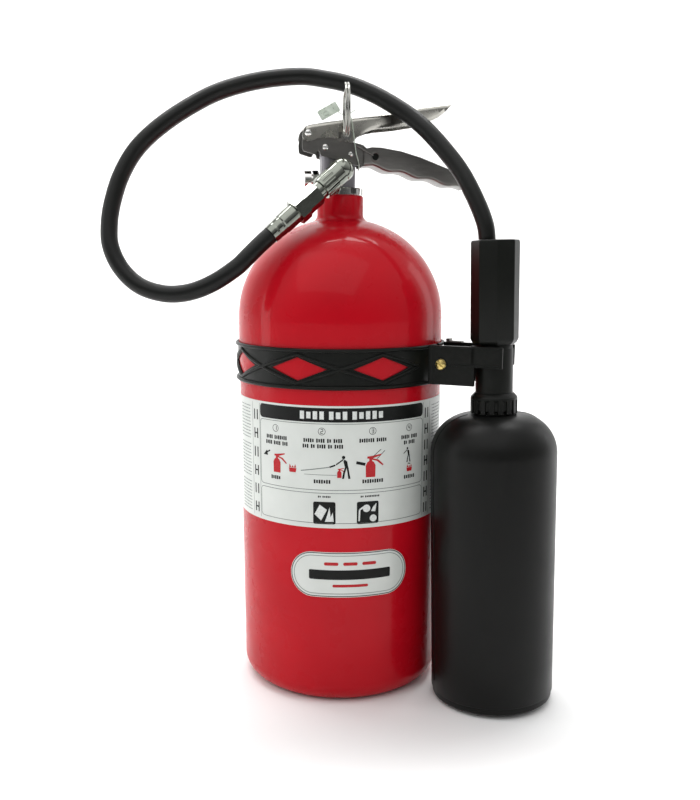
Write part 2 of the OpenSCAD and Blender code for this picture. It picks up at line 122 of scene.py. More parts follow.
def lathe(profile, segments=96, closed=False):
    """(verts, faces) of a profile of (radius, height) turned about Z. A closed profile makes a ring."""
    verts, rings = [], []
    for r, z in profile:
        if r < 1e-6:
            rings.append([len(verts)] * segments)
            verts.append(Vector((0, 0, z)))
        else:
            rings.append(list(range(len(verts), len(verts) + segments)))
            for j in range(segments):
                a = math.tau * j / segments
                verts.append(Vector((r * math.cos(a), r * math.sin(a), z)))
    faces = []
    pairs = list(zip(rings, rings[1:]))
    if closed:
        pairs.append((rings[-1], rings[0]))
    for low, high in pairs:
        for j in range(segments):
            k = (j + 1) % segments
            face = [low[j], low[k], high[k], high[j]]
            face = [v for i, v in enumerate(face) if v not in face[:i]]
            if len(face) > 2:
                faces.append(tuple(face))
    return verts, faces


def tube_part(path, radius, sides=24, closed=False, up=Vector((0.1, 0.2, 1))):
    """(verts, faces) of a round bar along a path of points in metres."""
    path = [Vector(p) for p in path]
    count = len(path)
    verts = []
    side = None
    for i, p in enumerate(path):
        a = path[(i - 1) % count] if closed else path[max(i - 1, 0)]
        b = path[(i + 1) % count] if closed else path[min(i + 1, count - 1)]
        t = (b - a).normalized()
        if side is None:
            side = t.cross(up).normalized()
        side = (side - t * side.dot(t)).normalized()
        other = t.cross(side)
        for j in range(sides):
            c = math.tau * j / sides
            verts.append(p + side * (radius * math.cos(c)) + other * (radius * math.sin(c)))
    faces = []
    for i in range(count if closed else count - 1):
        k = (i + 1) % count
        for j in range(sides):
            m = (j + 1) % sides
            faces.append((i * sides + j, i * sides + m, k * sides + m, k * sides + j))
    if not closed:
        faces.append(tuple(range(sides))[::-1])
        faces.append(tuple(range((count - 1) * sides, count * sides)))
    return verts, faces


def smooth_path(points, steps):
    """A Catmull-Rom curve through the points, with `steps` pieces between each two."""
    points = [Vector(p) for p in points]
    last = len(points) - 1
    found = []
    for i in range(last):
        a, b = points[max(i - 1, 0)], points[i]
        c, d = points[i + 1], points[min(i + 2, last)]
        for k in range(steps):
            t = k / steps
            found.append(0.5 * (2 * b + (c - a) * t + (2 * a - 5 * b + 4 * c - d) * t * t
                                + (3 * b - a - 3 * c + d) * t ** 3))
    return found + [points[last]]


# ------------------------------ materials

class Nodes:
    """A short way to write a node material."""

    def __init__(self, name, color, roughness, metallic=0.0, **inputs):
        self.material = bpy.data.materials.new(name)
        self.material.use_nodes = True
        self.tree = self.material.node_tree
        self.shader = self.tree.nodes["Principled BSDF"]
        self.shader.inputs["Base Color"].default_value = (*color, 1)
        self.shader.inputs["Roughness"].default_value = roughness
        self.shader.inputs["Metallic"].default_value = metallic
        for key, value in inputs.items():
            self.shader.inputs[key.replace("_", " ")].default_value = value
        self.where = self.tree.nodes.new("ShaderNodeTexCoord").outputs["Object"]
        self.normal = None

    def stretched(self, scale):
        """Object coordinates, in metres, stretched by a scale for each axis."""
        node = self.tree.nodes.new("ShaderNodeMapping")
        node.inputs["Scale"].default_value = scale
        self.tree.links.new(self.where, node.inputs["Vector"])
        return node.outputs["Vector"]

    def noise(self, scale, detail=3, rough=0.55, where=None):
        node = self.tree.nodes.new("ShaderNodeTexNoise")
        node.inputs["Scale"].default_value = scale
        node.inputs["Detail"].default_value = detail
        node.inputs["Roughness"].default_value = rough
        self.tree.links.new(where or self.where, node.inputs["Vector"])
        return node.outputs["Fac"]

    def ramp(self, fac, stops):
        """Colours, or greys, along a value."""
        node = self.tree.nodes.new("ShaderNodeValToRGB")
        ends = node.color_ramp.elements
        while len(ends) < len(stops):
            ends.new(0.5)
        for end, (at, value) in zip(ends, stops):
            end.position = at
            end.color = (value, value, value, 1) if isinstance(value, float) else (*value, 1)
        self.tree.links.new(fac, node.inputs["Fac"])
        return node.outputs["Color"]

    def mix(self, fac, a, b):
        node = self.tree.nodes.new("ShaderNodeMix")
        node.data_type = "RGBA"
        for socket, value in ((node.inputs[0], fac), (node.inputs[6], a), (node.inputs[7], b)):
            if isinstance(value, bpy.types.NodeSocket):
                self.tree.links.new(value, socket)
            elif isinstance(value, tuple):
                socket.default_value = (*value, 1)
            else:
                socket.default_value = value
        return node.outputs[2]

    def color(self, socket):
        self.tree.links.new(socket, self.shader.inputs["Base Color"])
        return self

    def rough(self, socket):
        self.tree.links.new(socket, self.shader.inputs["Roughness"])
        return self

    def bump(self, height, distance, strength=1.0):
        node = self.tree.nodes.new("ShaderNodeBump")
        node.inputs["Distance"].default_value = distance
        node.inputs["Strength"].default_value = strength
        self.tree.links.new(height, node.inputs["Height"])
        if self.normal is not None:
            self.tree.links.new(self.normal, node.inputs["Normal"])
        self.normal = node.outputs["Normal"]
        self.tree.links.new(self.normal, self.shader.inputs["Normal"])
        return self


def edge_wear(n, worn, base):
    """A lighter worn colour on convex edges, broken up by noise."""
    edge = n.tree.nodes.new("ShaderNodeNewGeometry").outputs["Pointiness"]
    edges = n.ramp(edge, [(0.53, 0.0), (0.6, 0.08)])
    broken = n.ramp(n.noise(260, 4), [(0.42, 0.0), (0.6, 1.0)])
    return n.mix(n.mix(broken, (0.0, 0.0, 0.0), edges), base, worn)


def red_paint():
    n = Nodes("red_paint", (0.46, 0.003, 0.010), 0.3, Coat_Weight=0.2, Coat_Roughness=0.05,
              Specular_IOR_Level=0.06)
    shade = n.ramp(n.noise(14, 2), [(0.3, (0.43, 0.003, 0.010)), (0.7, (0.49, 0.004, 0.012))])
    specks = n.ramp(n.noise(1900, 2), [(0.70, 0.0), (0.78, 0.35)])
    n.color(n.mix(specks, shade, (0.32, 0.002, 0.006)))
    n.rough(n.ramp(n.noise(35, 4), [(0.3, 0.24), (0.75, 0.36)]))
    n.bump(n.noise(520, 2, 0.4), 0.00004, 0.2)
    return n.bump(n.noise(26, 2, 0.3), 0.0002, 0.06).material


def label_film():
    n = Nodes("label_film", (0.62, 0.65, 0.62), 0.38, Coat_Weight=0.15, Coat_Roughness=0.2)
    n.color(n.ramp(n.noise(40, 4), [(0.3, (0.61, 0.64, 0.61)), (0.7, (0.66, 0.69, 0.66))]))
    n.rough(n.ramp(n.noise(90, 3), [(0.3, 0.32), (0.7, 0.44)]))
    return n.bump(n.noise(1500, 2), 0.00003, 0.5).material


def print_ink(name, color):
    n = Nodes("ink_" + name, color, 0.42, Specular_IOR_Level=0.2)
    darker = tuple(0.72 * c for c in color)
    n.color(n.ramp(n.noise(900, 3), [(0.35, color), (0.75, darker)]))
    return n.rough(n.ramp(n.noise(300, 2), [(0.3, 0.36), (0.7, 0.5)])).material


def chrome(name, color, rough, grime=0.35):
    n = Nodes(name, color, rough, 1.0)
    dull = tuple(c * (1 - grime) for c in color)
    n.color(n.ramp(n.noise(30, 3, 0.5), [(0.3, color), (0.8, dull)]))
    n.rough(n.ramp(n.noise(160, 4), [(0.3, max(rough - 0.05, 0.03)), (0.75, rough + 0.1)]))
    n.bump(n.noise(240, 2), 0.00005, 0.12)
    return n.bump(n.noise(1, 3, 0.6, n.stretched((150, 1500, 1900))), 0.00001, 0.3).material


def brushed(name, color, rough, along=(120, 2200, 2200)):
    n = Nodes(name, color, rough, 1.0)
    streaks = n.noise(1, 4, 0.65, n.stretched(along))
    stain = n.ramp(n.noise(60, 4, 0.6), [(0.35, 1.0), (0.8, 0.72)])
    tint = n.ramp(streaks, [(0.25, tuple(0.8 * c for c in color)), (0.75, color)])
    n.color(n.mix(stain, tuple(0.62 * c for c in color), tint))
    n.rough(n.ramp(streaks, [(0.3, rough - 0.06), (0.7, rough + 0.1)]))
    return n.bump(streaks, 0.00003, 0.6).material


def brass():
    n = Nodes("brass", (0.72, 0.52, 0.16), 0.26, 1.0)
    n.color(n.ramp(n.noise(400, 4), [(0.35, (0.78, 0.60, 0.22)), (0.75, (0.45, 0.36, 0.12))]))
    n.rough(n.ramp(n.noise(600, 3), [(0.3, 0.2), (0.7, 0.38)]))
    return n.bump(n.noise(900, 2), 0.00003, 0.5).material


def moulded(name, color, rough, grain=1400, depth=0.00005):
    """Black moulded plastic with a fine grain, cloudy gloss and faintly rubbed edges."""
    n = Nodes(name, color, rough, Specular_IOR_Level=0.16)
    cloudy = n.ramp(n.noise(22, 4, 0.6), [(0.3, color), (0.8, tuple(1.25 * c for c in color))])
    n.color(edge_wear(n, (0.04, 0.04, 0.039), cloudy))
    n.rough(n.ramp(n.noise(55, 4, 0.65), [(0.3, rough - 0.03), (0.75, rough + 0.04)]))
    n.bump(n.noise(grain, 2), depth, 0.6)
    return n.bump(n.noise(30, 2), 0.0001, 0.06).material


def hose_rubber():
    """Black rubber cover with the faint spiral print of the cloth it was cured in."""
    n = Nodes("hose_rubber", (0.005, 0.0055, 0.005), 0.36, Specular_IOR_Level=0.25)
    uv = n.tree.nodes.new("ShaderNodeTexCoord").outputs["UV"]
    lines = []
    for slant in (1.0, -1.0):
        mapping = n.tree.nodes.new("ShaderNodeMapping")
        mapping.inputs["Scale"].default_value = (36 * slant, 900, 1)
        wave = n.tree.nodes.new("ShaderNodeTexWave")
        wave.bands_direction = "DIAGONAL"
        wave.inputs["Scale"].default_value = 0.35
        wave.inputs["Distortion"].default_value = 0.6
        n.tree.links.new(uv, mapping.inputs["Vector"])
        n.tree.links.new(mapping.outputs["Vector"], wave.inputs["Vector"])
        lines.append(wave.outputs["Fac"])
    weave = n.mix(0.5, lines[0], lines[1])
    dusty = n.ramp(n.noise(45, 5, 0.65),
                   [(0.35, (0.003, 0.0035, 0.003)), (0.8, (0.006, 0.0065, 0.0058))])
    n.color(n.mix(n.ramp(weave, [(0.2, 0.0), (0.9, 0.35)]), dusty, (0.008, 0.0085, 0.0078)))
    n.rough(n.ramp(n.noise(120, 4), [(0.3, 0.3), (0.75, 0.46)]))
    n.bump(weave, 0.00012, 0.5)
    return n.bump(n.noise(700, 3), 0.00006, 0.5).material


def seal_rubber():
    n = Nodes("seal_rubber", (0.015, 0.015, 0.015), 0.6)
    n.color(n.ramp(n.noise(700, 3), [(0.3, (0.010, 0.010, 0.010)), (0.7, (0.028, 0.028, 0.028))]))
    return n.bump(n.noise(1500, 2), 0.00004, 0.5).material


def clear_tag():
    """Thin, slightly green, translucent nylon."""
    n = Nodes("seal_plastic", (0.60, 0.68, 0.58), 0.3, Transmission_Weight=0.35, IOR=1.45)
    n.color(n.ramp(n.noise(180, 3), [(0.3, (0.52, 0.60, 0.50)), (0.7, (0.72, 0.78, 0.70))]))
    n.rough(n.ramp(n.noise(260, 3), [(0.3, 0.24), (0.7, 0.42)]))
    return n.bump(n.noise(800, 2), 0.00004, 0.5).material


MATERIAL = {
    "red_paint": red_paint(),
    "label_film": label_film(),
    "chrome_plate": chrome("chrome_plate", (0.72, 0.72, 0.70), 0.1),
    "coupling_chrome": chrome("coupling_chrome", (0.27, 0.285, 0.25), 0.1, 0.4),
    "lever_chrome": chrome("lever_chrome", (0.46, 0.45, 0.41), 0.27, 0.3),
    "ring_wire": chrome("ring_wire", (0.40, 0.40, 0.37), 0.16, 0.4),
    "steel_plate": brushed("steel_plate", (0.20, 0.195, 0.185), 0.36),
    "body_metal": brushed("body_metal", (0.30, 0.29, 0.31), 0.38, (2200, 2200, 120)),
    "brass_part": brass(),
    "black_plastic": moulded("black_plastic", (0.0040, 0.0048, 0.0038), 0.36),
    "horn_plastic": moulded("horn_plastic", (0.0042, 0.0044, 0.0040), 0.38, 1100, 0.00006),
    "hose_rubber": hose_rubber(),
    "seal_rubber": seal_rubber(),
    "seal_plastic": clear_tag(),
    "ink_black": print_ink("black", (0.004, 0.005, 0.0045)),
    "ink_grey": print_ink("grey", (0.22, 0.25, 0.235)),
    "ink_red": print_ink("red", (0.50, 0.02, 0.025)),
    "ink_white": print_ink("white", (0.74, 0.77, 0.75)),
}


def dressed(obj, body, material, replaces=()):
    """Gives a piece its material and slot, and makes it ride on a body in place of CAD nodes."""
    obj.data.materials.clear()
    obj.data.materials.append(MATERIAL[material])
    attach(obj, body)
    if replaces:
        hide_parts(*replaces)
    return obj


def dress_node(name, material):
    """Gives a CAD node that stays its material."""
    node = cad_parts[name]
    node.data.materials.clear()
    node.data.materials.append(MATERIAL[material])


# ------------------------------ hose

HOSE = [(-65.3, -46, 394), (-75, -48, 385.5), (-84, -50, 377), (-94, -51, 368), (-113, -50, 356),
        (-132, -46, 349), (-151, -41, 348), (-170, -34, 354), (-184, -27, 367), (-192, -21, 384),
        (-193, -16, 400), (-190, -11, 419), (-182, -6, 442), (-169, -2, 463), (-150, 1, 481),
        (-125, 4, 498), (-99, 5, 511), (-67, 5, 520), (-34, 4, 524), (-13, 1, 522),
        (5, -4, 518), (20, -10, 512), (34, -18, 504), (53, -30, 490), (66, -42, 476),
        (79, -54, 458), (88, -63, 443), (95, -71, 427), (101, -77, 411), (104, -80, 400),
        (105.4, -80.1, 390.4)]
HOSE_DIAMETER = 0.0138


def make_hose():
    """The hose as one cord, with UVs along it for its woven print."""
    sides = 32
    path = smooth_path([Vector(p) * MM for p in HOSE], 8)
    verts, faces = tube_part(path, HOSE_DIAMETER / 2, sides)
    for vert in verts[-sides:]:
        vert.z = path[-1].z
    hose = mesh_object("hose_cover", verts, faces)
    travelled = [0.0]
    for a, b in zip(path, path[1:]):
        travelled.append(travelled[-1] + (b - a).length)
    uv = hose.data.uv_layers.new(name="UVMap")
    for face in hose.data.polygons:
        around = [hose.data.loops[i].vertex_index % sides for i in face.loop_indices]
        seam = 0 in around and sides - 1 in around
        for i in face.loop_indices:
            index = hose.data.loops[i].vertex_index
            turn = index % sides
            u = sides if seam and turn == 0 else turn
            uv.data[i].uv = (u / sides, travelled[index // sides])
    dressed(hose, "root", "hose_rubber", replaces=["hose"])


make_hose()


# ------------------------------ cylinder, labels and emblem

CYL_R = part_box("cylinder_shell")[1].x / MM
NECK_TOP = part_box("cylinder_shell")[1].z / MM
LABEL_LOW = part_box("instruction_label")[0].z / MM
LABEL_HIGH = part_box("instruction_label")[1].z / MM
LABEL_CENTRE = -98
EMBLEM_CENTRE = -94.5
EMBLEM_Z = (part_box("emblem_label")[0].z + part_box("emblem_label")[1].z) / 2 / MM
EMBLEM_HIGH = (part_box("emblem_label")[1].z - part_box("emblem_label")[0].z) / MM
EMBLEM_LONG = 103
FILM = 0.3


def scaled(part):
    """A part drawn in millimetres, in metres."""
    return [Vector(v) * MM for v in part[0]], part[1]


def make_cylinder():
    """The pressure cylinder from its flat base to its neck."""
    base_round, dome_z, dome_r, neck_r, fillet = 17.5, 325, 84, 19.8, 6
    dome_x = CYL_R - dome_r
    reach = neck_r + fillet - dome_x
    fillet_z = dome_z + math.sqrt((dome_r + fillet) ** 2 - reach ** 2)
    dome_end = math.degrees(math.atan2(fillet_z - dome_z, reach))
    profile = [(0, 2.5), (40, 1.6), (CYL_R - base_round - 5, 0.3), (CYL_R - base_round - 2, 0)]
    profile += arc_points(CYL_R - base_round, base_round, base_round, -90, 0, 16)
    profile += [(CYL_R, z) for z in (60, 160, 260)]
    profile += arc_points(dome_x, dome_z, dome_r, 0, dome_end, 48)
    profile += arc_points(neck_r + fillet, fillet_z, fillet, 180 + dome_end, 180, 8)
    profile += [(neck_r, NECK_TOP - 0.8), (neck_r - 0.6, NECK_TOP), (12.6, NECK_TOP),
                (12.6, 405), (0, 405)]
    dressed(mesh_object("cylinder_wall", *scaled(lathe(profile, 256))), "root", "red_paint",
            replaces=["cylinder_shell"])


def wrapped(shapes, low, high, centre):
    """(verts, faces) of flat shapes, drawn in mm round and up, laid on the cylinder as a skin."""
    step = 3.0
    bm = bmesh.new()
    for shape in shapes:
        bm.faces.new([bm.verts.new((s, z, 0)) for s, z in shape])
    bm.normal_update()
    bmesh.ops.triangulate(bm, faces=bm.faces)
    start = min(v.co.x for v in bm.verts)
    end = max(v.co.x for v in bm.verts)
    cut = step * math.ceil(start / step)
    while cut < end:
        bmesh.ops.bisect_plane(bm, geom=bm.verts[:] + bm.edges[:] + bm.faces[:],
                               plane_co=(cut, 0, 0), plane_no=(1, 0, 0))
        cut += step
    bm.verts.index_update()
    count = len(bm.verts)
    verts, faces = [], []
    for r in (high, low):
        for v in bm.verts:
            a = math.radians(centre) + v.co.x / CYL_R
            verts.append(Vector((r * math.cos(a), r * math.sin(a), v.co.y)) * MM)
    for face in bm.faces:
        ids = [v.index for v in face.verts]
        faces.append(tuple(ids))
        faces.append(tuple(i + count for i in reversed(ids)))
    for edge in bm.edges:
        if edge.is_boundary:
            a, b = (v.index for v in edge.verts)
            faces.append((a, b, b + count, a + count))
    bm.free()
    return verts, faces


def block(s, z, w, h):
    """A plain rectangle centred at s, z."""
    return [(s - w / 2, z - h / 2), (s + w / 2, z - h / 2), (s + w / 2, z + h / 2),
            (s - w / 2, z + h / 2)]


def rounded(s, z, w, h, r, steps=6):
    """A rectangle with round corners."""
    found = []
    for sx, sz, start in ((1, -1, -90), (1, 1, 0), (-1, 1, 90), (-1, -1, 180)):
        found += arc_points(s + sx * (w / 2 - r), z + sz * (h / 2 - r), r, start, start + 90, steps)
    return found


def outline(outer, inner):
    """The band between two outlines with as many points, as four-sided pieces."""
    count = len(outer)
    return [[outer[i], outer[(i + 1) % count], inner[(i + 1) % count], inner[i]] for i in range(count)]


def frame_line(s, z, w, h, r, line):
    """The printed border of a panel with round corners."""
    return outline(rounded(s, z, w, h, r), rounded(s, z, w - 2 * line, h - 2 * line, r - line))


def disc(s, z, r, steps=20):
    """A round spot."""
    return [(s + r * math.cos(math.tau * i / steps), z + r * math.sin(math.tau * i / steps))
            for i in range(steps)]


def stroke(points, width):
    """A line of some width through points, as four-sided pieces."""
    found = []
    for (ax, az), (bx, bz) in zip(points, points[1:]):
        length = math.hypot(bx - ax, bz - az)
        nx, nz = -(bz - az) / length * width / 2, (bx - ax) / length * width / 2
        found.append([(ax + nx, az + nz), (ax - nx, az - nz), (bx - nx, bz - nz), (bx + nx, bz + nz)])
    return found


def word_marks(s, z, words, height, letter=1.5, gap=0.55, space=1.8):
    """A row of plain strokes that stands in for words: one number for each word's strokes."""
    width = sum(n * (letter + gap) - gap for n in words) + space * (len(words) - 1)
    at = s - width / 2
    found = []
    for n in words:
        for i in range(n):
            found.append(block(at + letter / 2, z, letter, height * (0.82 if i % 3 == 1 else 1.0)))
            at += letter + gap
        at += space - gap
    return found


SEGMENTS = {1: "cf", 2: "acdeg", 3: "acdfg", 4: "bcdf"}


def digit(number, s, z, w, h, line):
    """A numeral made of straight strokes."""
    left, right, top, mid, low = s - w / 2, s + w / 2, z + h / 2, z, z - h / 2
    lines = {"a": ((left, top), (right, top)), "b": ((left, top), (left, mid)),
             "c": ((right, top), (right, mid)), "d": ((left, mid), (right, mid)),
             "e": ((left, mid), (left, low)), "f": ((right, mid), (right, low)),
             "g": ((left, low), (right, low))}
    return [piece for key in SEGMENTS[number] for piece in stroke(lines[key], line)]


def drawn(s, z, size, *shapes):
    """Outlines drawn in units of `size` about s, z."""
    return [[(s + x * size, z + y * size) for x, y in shape] for shape in shapes]


def small_extinguisher(s, z, size):
    """Outlines of a simple extinguisher sign: body, neck, lever and handle."""
    body = [(-0.42, -1), (0.42, -1), (0.44, 0.02), (0.3, 0.3), (0.13, 0.42), (0.13, 0.62),
            (-0.13, 0.62), (-0.13, 0.42), (-0.3, 0.3), (-0.44, 0.02)]
    lever = [(-0.3, 0.62), (0.12, 0.6), (0.95, 0.86), (0.95, 0.98), (0.1, 0.84), (-0.3, 0.8)]
    handle = [(0.13, 0.5), (0.55, 0.38), (1.1, -0.06), (1.18, 0.04), (0.7, 0.5), (0.13, 0.64)]
    return drawn(s, z, size, body, lever, handle)


def standing_figure(s, z, size):
    """A plain walking figure with an arm held out to the left."""
    trunk = [(-0.02, 0.72), (0.22, 0.55), (0.3, 0.02), (0.02, 0.0), (-0.12, 0.55)]
    arm = [(-0.1, 0.66), (-0.72, 0.2), (-0.78, 0.3), (-0.1, 0.8)]
    leg = [(0.02, 0.04), (0.18, 0.04), (0.02, -0.5), (-0.06, -1.0), (-0.24, -1.0), (-0.14, -0.45)]
    other = [(0.14, 0.04), (0.32, 0.04), (0.4, -0.5), (0.5, -1.0), (0.3, -1.0), (0.24, -0.5)]
    head = disc(s - 0.1 * size, z + 0.9 * size, 0.15 * size, 14)
    return [head] + drawn(s, z, size, trunk, arm, leg, other)


def can_of_fire(s, z, size):
    """A small tub with three pointed tongues over it."""
    tub = [(-0.8, -0.8), (0.8, -0.8), (1, 0.2), (-1, 0.2)]
    return drawn(s, z, size, tub, [(-0.9, 0.3), (-0.3, 0.3), (-0.75, 1.1)],
                 [(-0.25, 0.3), (0.3, 0.3), (0.0, 0.8)], [(0.35, 0.3), (0.9, 0.3), (0.7, 1.1)])


def make_label():
    """The instruction film and its print: panels, numerals, stroke rows and plain pictures."""
    skin = CYL_R + FILM
    mid = (LABEL_LOW + LABEL_HIGH) / 2
    wrap = math.radians(270) * CYL_R
    sheet = wrapped([rounded(0, mid, wrap, LABEL_HIGH - LABEL_LOW, 3)], CYL_R - 0.02, skin,
                    LABEL_CENTRE)
    dressed(mesh_object("label_film", *sheet, sharp=50), "root", "label_film",
            replaces=["instruction_label"])
    print_width, head_z, head_h = 154, 252.5, 11.6
    panel_z, panel_h, foot_z, foot_h = 217.9, 55.4, 175.1, 26
    columns = (-60, -18, 23.6, 58.6)
    steps_z = 239.2
    black = [rounded(-1.4, head_z, print_width, head_h, 3.4)]
    grey = frame_line(-1.4, panel_z, print_width, panel_h, 3.4, 0.55)
    grey += frame_line(-1.4, foot_z, print_width, foot_h, 3.4, 0.55)
    white = word_marks(-2, head_z - 0.2, [4, 3, 5], 6.6, 3.6, 1.9, 4.2)
    for side, count in ((-1, 6), (1, 7)):
        s = -1.4 + side * (print_width / 2 + 6.2)
        pitch = 96 / count
        for i in range(count):
            z = LABEL_HIGH - 5.6 - pitch * (i + 0.4)
            black += stroke([(s - 2.1, z - 4.3), (s - 2.1, z + 4.3)], 1.5)
            black += stroke([(s + 2.1, z - 4.3), (s + 2.1, z + 4.3)], 1.5)
            if i % 2:
                black += stroke([(s - 2.1, z), (s + 2.1, z)], 1.3)
        for edge in (-5.4, 5.4):
            grey += stroke([(s + edge, LABEL_LOW + 2), (s + edge, LABEL_HIGH - 2)], 0.4)
        for row in range(34):
            words = [[5, 3, 6], [4, 7, 2], [6, 4, 3]][row % 3]
            if row % 12 != 11:
                grey += word_marks(s + side * 20, LABEL_HIGH - 6 - 2.75 * row, words,
                                   0.9, 1.1, 0.35, 1.1)
    for number, s in enumerate(columns, 1):
        black += outline(disc(s, steps_z, 3.1), disc(s, steps_z, 2.7))
        black += digit(number, s, steps_z, 1.8, 3.4, 0.5)
    rows = {-60: ([4, 7], [4, 4, 3]), -18: ([5, 4, 2, 4], [3, 2, 4, 2, 4]), 23.6: ([7, 5],),
            58.6: ([5, 4], [2, 4])}
    for s, lines in rows.items():
        for i, words in enumerate(lines):
            black += word_marks(s + 0.5, 231.6 - 4.7 * i, words, 3.3, 1.3, 0.55, 2.1)
    for s, words in ((-60.5, [5]), (-18, [7]), (24, [9]), (59.5, [6])):
        black += word_marks(s, 197.6, words, 3.2, 1.45, 0.6, 1.8)
    red = small_extinguisher(-59, 210.5, 8.6) + small_extinguisher(22, 210.5, 9.6)
    red += can_of_fire(-43.5, 206.8, 3.6) + can_of_fire(59.4, 204.6, 3.2)
    red += small_extinguisher(-3.8, 205.2, 4.2)
    black += standing_figure(0.6, 209.6, 9.4) + standing_figure(57.6, 216.2, 6.2)
    black += stroke([(-66.5, 219.6), (-71.5, 217.2)], 1.2)
    black += [[(-70.2, 219.6), (-74.4, 215.4), (-69.0, 215.2)]]
    black += stroke([(-11.8, 209.8), (-7.0, 211.6)], 1.3)
    grey += stroke([(-36, 206), (-12, 209.8)], 0.8) + stroke([(-33, 203.2), (-6, 203.2)], 0.45)
    black += stroke([(10, 213.6), (17.5, 211.8)], 2.4)
    black += stroke([(24, 218), (31, 223.6)], 0.5) + stroke([(27.4, 215.8), (34.5, 222.4)], 0.5)
    black += stroke([(57.6, 208.9), (60.6, 208.4)], 0.8)
    left, right, sign_z = -16.2, 19.9, 171.1
    for s, words, shift in ((left, [2, 5], 0), (right, [2, 9], 1.8)):
        black += [rounded(s, sign_z, 18.6, 19, 1.6)]
        black += word_marks(s + shift, 184.9, words, 1.6, 1.0, 0.4, 1.4)
    white += drawn(left, sign_z, 1, [(-8.2, -1.2), (-3.8, 7.0), (2.2, 2.8), (-2.6, -6.4)],
                   [(0.4, -7.4), (7.8, -7.2), (7.0, 0.6), (5.2, -3.4), (4.4, 5.0), (2.0, -3.2)])
    white += [disc(right - 1.2, sign_z + 3.6, 3.2), disc(right + 4.6, sign_z - 5.0, 3.0)]
    hook = drawn(right, sign_z, 1, [(-7.4, -7), (-7.0, 2.6), (-3.6, 5.0)])
    white += stroke(hook[0], 1.3)
    white += drawn(right, sign_z, 1, [(2.6, 1.0), (6.4, 0.6), (7.4, 7.6), (4.6, 5)])
    for name, shapes, low in (("black", black, 0.0), ("grey", grey, 0.0), ("red", red, 0.0),
                              ("white", white, 0.04)):
        part = wrapped(shapes, skin - 0.02 + low, skin + 0.05 + low, LABEL_CENTRE)
        dressed(mesh_object("label_print_" + name, *part, sharp=50), "root", "ink_" + name)


def make_emblem():
    """A plain badge with bars, and no name on it."""
    skin = CYL_R + FILM
    radius = EMBLEM_HIGH / 2
    film = wrapped([rounded(0, EMBLEM_Z, EMBLEM_LONG, EMBLEM_HIGH, radius - 0.01, 16)],
                   CYL_R - 0.02, skin, EMBLEM_CENTRE)
    dressed(mesh_object("emblem_film", *film, sharp=50), "root", "label_film",
            replaces=["emblem_label"])
    outer, inner, field, line = [
        rounded(0, EMBLEM_Z, EMBLEM_LONG - less, EMBLEM_HIGH - less, radius - (less / 2 + 0.1), 16)
        for less in (1.0, 2.4, 5.6, 6.8)]
    bar = rounded(0, EMBLEM_Z, 70, 8.4, 1.2)
    marks = [rounded(s, EMBLEM_Z + 9.6, 12, 2.8, 1.2) for s in (-16, 0, 16)]
    shapes = {"black": outline(outer, inner) + [bar], "grey": outline(field, line),
              "red": marks + [rounded(0, EMBLEM_Z - 9.6, 30, 2.4, 1.0)]}
    for name, pieces in shapes.items():
        part = wrapped(pieces, skin - 0.02, skin + 0.05, EMBLEM_CENTRE)
        dressed(mesh_object("emblem_print_" + name, *part, sharp=50), "root", "ink_" + name)


make_cylinder()
make_label()
make_emblem()


# ------------------------------ band and clip

BAND_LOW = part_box("cylinder_band")[0].z / MM
BAND_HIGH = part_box("cylinder_band")[1].z / MM
CLIP_ANGLE = -36
CLIP = Matrix.Rotation(math.radians(CLIP_ANGLE), 4, "Z")
TUBE_R = 15.35
HORN_DIST = 141
CLIP_Z = 290
HORN_LEAN = Matrix.Rotation(math.radians(-1.5), 4, "Y")
HORN = CLIP @ Matrix.Translation((HORN_DIST * MM, 0, CLIP_Z * MM)) @ HORN_LEAN


def ring_path(r, start, end, steps, height):
    """Points round the cylinder's axis in metres; height is a function of the angle in degrees."""
    found = []
    for i in range(steps + 1):
        degrees = start + (end - start) * i / steps
        a = math.radians(degrees)
        found.append(Vector((r * math.cos(a), r * math.sin(a), height(degrees))) * MM)
    return found


def make_band():
    """The lattice band round the cylinder, with windows between its crossed ribs."""
    rail, pitch, first, windows = 1.6, 45, -77.5, 7
    mid = (BAND_LOW + BAND_HIGH) / 2
    slot = math.degrees(3 / CYL_R)
    start, end = CLIP_ANGLE + slot, CLIP_ANGLE + 360 - slot
    parts = []
    for z in (BAND_LOW + rail, BAND_HIGH - rail):
        parts.append(tube_part(ring_path(CYL_R + rail, start, end, 300, lambda _, z=z: z),
                               rail * MM, 16))
    half_h, half_w = 9.4, 15.8
    per_degree = math.radians(1) * CYL_R
    low, high = BAND_LOW + rail, BAND_HIGH - rail
    shapes = []
    for k in range(windows):
        w = first - pitch * k - LABEL_CENTRE
        for top, s in ((high, 1), (low, -1)):
            points = [(w - pitch / 2, top), (w + pitch / 2, top), (w + pitch / 2, mid),
                      (w + half_w, mid), (w, mid + s * half_h), (w - half_w, mid),
                      (w - pitch / 2, mid)]
            shapes.append([(a * per_degree, z) for a, z in points])
    edge = first + pitch / 2 - LABEL_CENTRE
    far = edge - pitch * windows
    for a, b in ((edge, end - 360), (far, start - 360)):
        a, b = a * per_degree, (b - LABEL_CENTRE) * per_degree
        shapes.append([(a, low), (b, low), (b, high), (a, high)])
    parts.append(wrapped(shapes, CYL_R + 0.05, CYL_R + 1.1, LABEL_CENTRE))

    last = first + pitch / 2 - pitch * windows
    for sign in (-1, 1):
        strand = ring_path(CYL_R + 1.2, first + pitch / 2, last, 420,
                           lambda degrees, s=sign: lattice(degrees, first, pitch, mid, s))
        parts.append(tube_part(strand, 1.5 * MM, 10))
    band = join_parts("band_strap", parts)
    dressed(band, "root", "black_plastic", replaces=["cylinder_band"])


